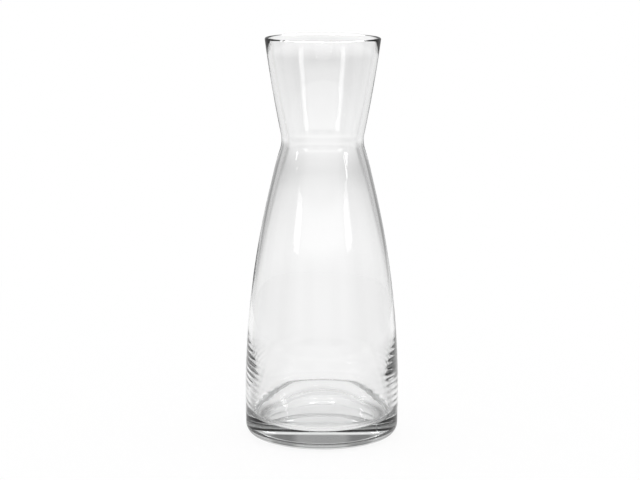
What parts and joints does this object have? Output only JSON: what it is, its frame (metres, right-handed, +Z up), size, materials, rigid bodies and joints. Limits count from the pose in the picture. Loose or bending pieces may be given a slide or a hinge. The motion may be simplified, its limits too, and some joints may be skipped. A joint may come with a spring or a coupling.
{
  "type": "water carafe",
  "caption": "Clear glass carafe with a wide rounded foot, a body that tapers to a narrow waist, and a flared open neck.",
  "frame": {"origin": "centre of the base, on the surface that the carafe stands on", "axes": "+Z up along the axis of the carafe, from the base to the rim; X and Y are free, because the carafe is round"},
  "size_m": [0.105, 0.105, 0.272],
  "materials": {
    "clear_glass": "fire-polished clear blown glass"
  },
  "bodies": {
    "root": {"carafe_glass": "clear_glass"}
  },
  "joints": []
}
